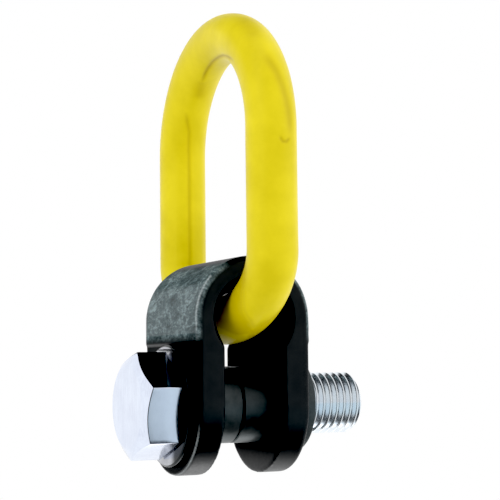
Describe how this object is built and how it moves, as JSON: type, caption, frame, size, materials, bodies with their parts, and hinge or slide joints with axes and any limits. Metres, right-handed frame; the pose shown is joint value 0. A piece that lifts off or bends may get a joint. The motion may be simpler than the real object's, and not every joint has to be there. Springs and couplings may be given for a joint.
{
  "type": "swivel hoist ring",
  "caption": "Side-pull lifting point: an oblong ring turns in a forged yoke that swivels about a hexagon bolt screwed into the load.",
  "frame": {"origin": "on the bolt axis, in the plane of the face that is bolted against the load", "axes": "+X along the bolt into the load, +Z from the bolt axis up to the lifting ring, Y across the yoke"},
  "size_m": [0.0797, 0.0856, 0.1495],
  "materials": {
    "yoke_black": "black coating over a forged surface, milled flat around the bolt",
    "ring_yellow": "glossy yellow powder coat",
    "bolt_zinc": "bright zinc plate, brushed on the flats",
    "spring_steel": "dull spring steel",
    "dark_steel": "blackened turned steel"
  },
  "bodies": {
    "clamped_stack": {"load_side_flanged_bushing": "dark_steel", "head_side_sleeve": "dark_steel", "washer": "dark_steel"},
    "bolt": {"hex_bolt": "bolt_zinc", "bolt_retaining_ring": "spring_steel"},
    "yoke": {"yoke_body": "yoke_black"},
    "ring": {"lifting_ring": "ring_yellow"}
  },
  "joints": [
    {"name": "yoke_swivel", "type": "hinge", "parent": "clamped_stack", "child": "yoke", "pos_m": [-0.02465, 0, 0], "axis": [1, 0, 0], "continuous": true},
    {"name": "ring_pivot", "type": "hinge", "parent": "yoke", "child": "ring", "pos_m": [-0.02465, 0, 0.0272], "axis": [0, 1, 0], "range_deg": [-180, 10]},
    {"name": "bolt_spin", "type": "hinge", "parent": "clamped_stack", "child": "bolt", "pos_m": [-0.0461, 0, 0], "axis": [1, 0, 0], "continuous": true}
  ]
}
